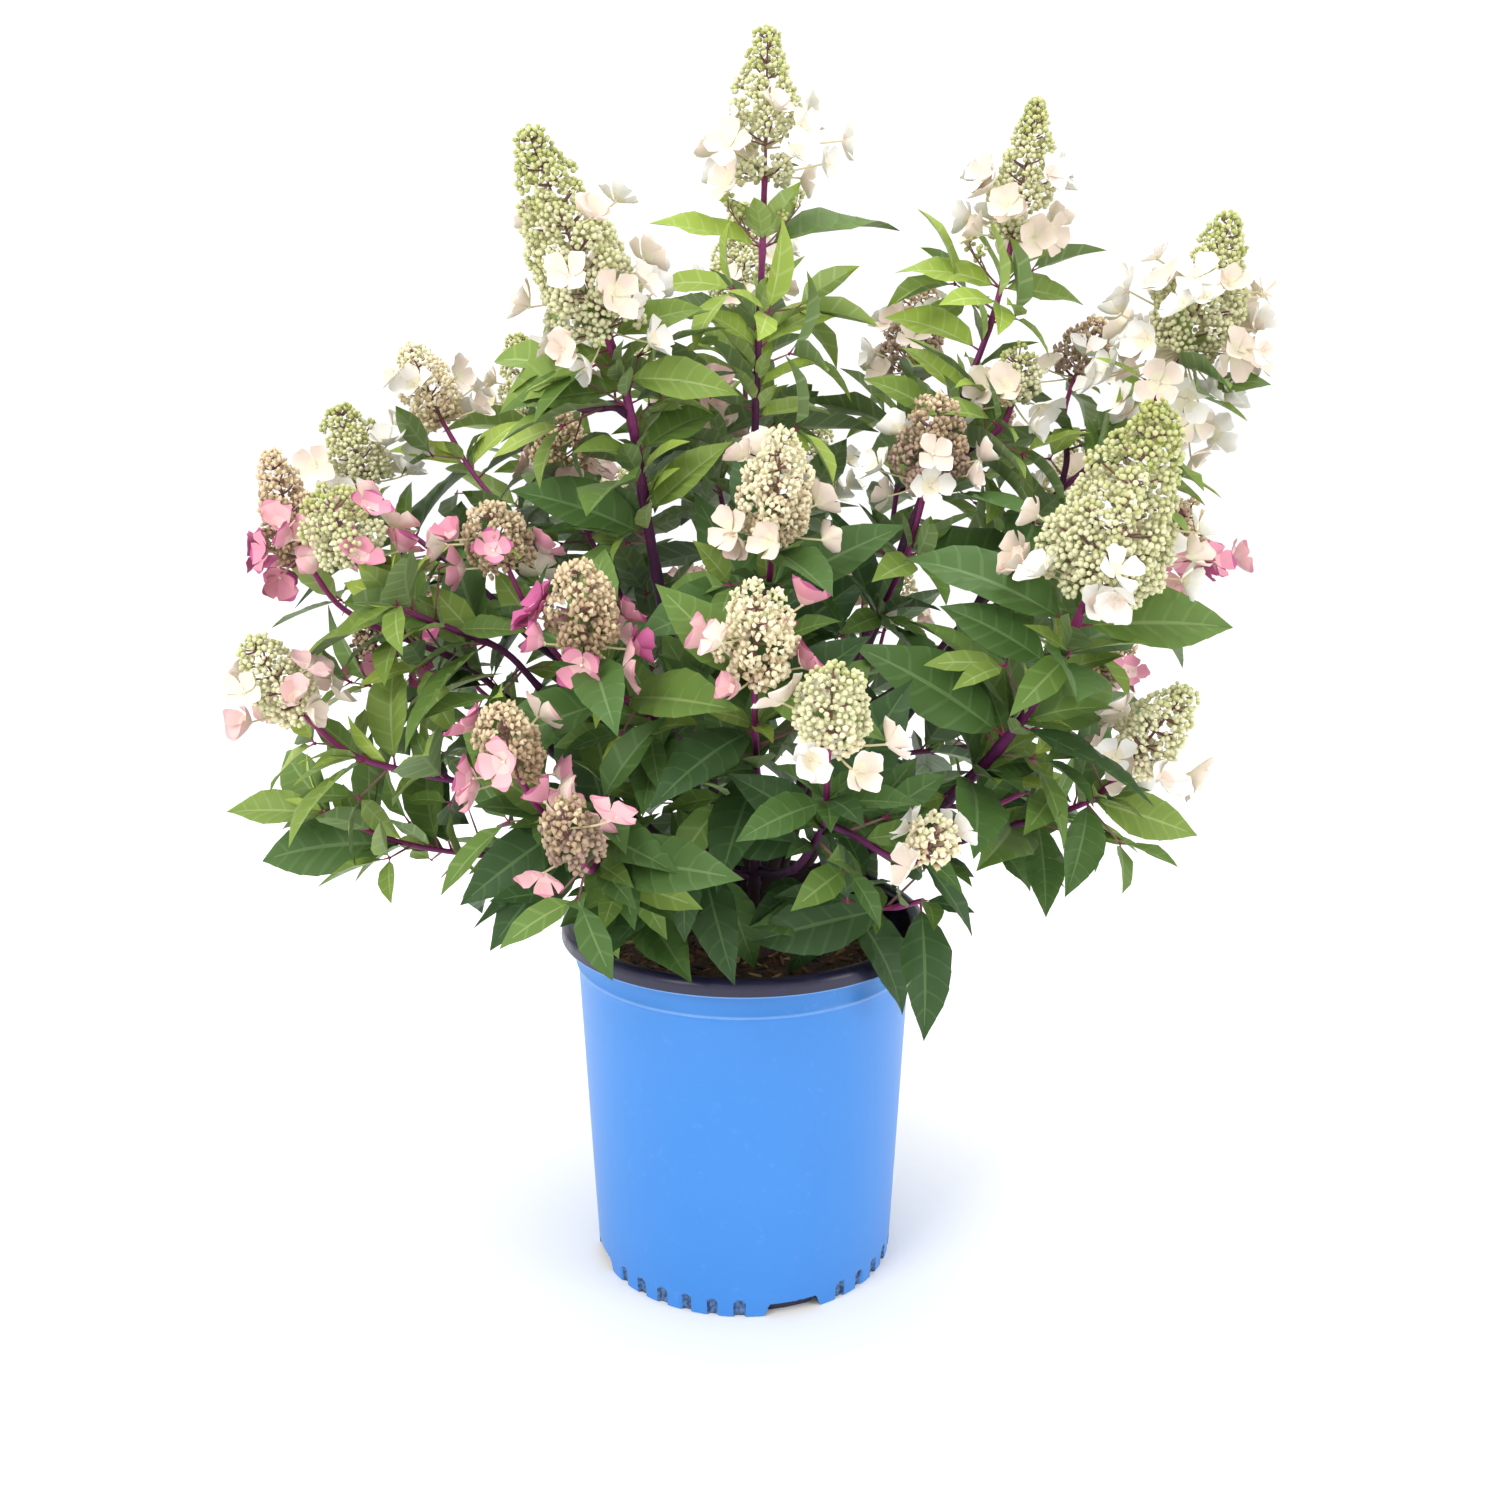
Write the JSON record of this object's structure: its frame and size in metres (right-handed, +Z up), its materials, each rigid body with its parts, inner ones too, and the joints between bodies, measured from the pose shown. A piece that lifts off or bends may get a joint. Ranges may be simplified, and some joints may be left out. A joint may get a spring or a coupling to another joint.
{
  "type": "potted hydrangea shrub",
  "caption": "Panicle hydrangea in flower in a blue nursery pot: fanned purple canes, opposite leaves and cone-shaped heads of buds with white and pink florets.",
  "frame": {"origin": "middle of the pot's flat underside, where the pot stands", "axes": "+Z up along the pot's axis, -Y towards the side that the picture shows"},
  "size_m": [0.5809, 0.5247, 0.722],
  "materials": {
    "pot_plastic": "satin",
    "potting_soil": "matte",
    "woody_stem": "matte",
    "purple_stem": "satin",
    "foliage": "matte"
  },
  "bodies": {
    "root": {"bough_back_right": "purple_stem", "bough_front": "purple_stem", "bough_front_left": "purple_stem", "bough_left": "purple_stem", "bough_left_high": "purple_stem", "bough_right_low": "purple_stem", "cane_back": "purple_stem", "cane_back_left": "purple_stem", "cane_back_right": "purple_stem", "cane_front": "purple_stem", "cane_front_left": "purple_stem", "cane_front_right": "purple_stem", "cane_left": "purple_stem", "cane_left_high": "purple_stem", "cane_left_low": "purple_stem", "cane_middle": "purple_stem", "cane_right": "purple_stem", "cane_upper_left": "purple_stem", "cane_upper_right": "purple_stem", "mass_back": "foliage", "mass_back_high": "foliage", "mass_back_left": "foliage", "mass_back_left_foot": "foliage", "mass_back_left_high": "foliage", "mass_back_left_low": "foliage", "mass_back_low": "foliage", "mass_back_right": "foliage", "mass_back_right_foot": "foliage", "mass_back_right_high": "foliage", "mass_back_right_low": "foliage", "mass_back_right_near": "foliage", "mass_centre": "foliage", "mass_centre_left": "foliage", "mass_centre_right": "foliage", "mass_far_right": "foliage", "mass_front": "foliage", "mass_front_foot": "foliage", "mass_front_high": "foliage", "mass_front_left": "foliage", "mass_front_left_foot": "foliage", "mass_front_left_low": "foliage", "mass_front_right_foot": "foliage", "mass_left": "foliage", "mass_left_far": "foliage", "mass_left_foot": "foliage", "mass_left_high": "foliage", "mass_left_inner": "foliage", "mass_left_low": "foliage", "mass_left_near": "foliage", "mass_near_right": "foliage", "mass_right": "foliage", "mass_right_foot": "foliage", "mass_right_low": "foliage", "mass_top": "foliage", "mass_top_back": "foliage", "mass_upper_left": "foliage", "mass_upper_right": "foliage", "pot": "pot_plastic", "potting_soil": "potting_soil", "root_crown": "woody_stem"}
  },
  "joints": []
}
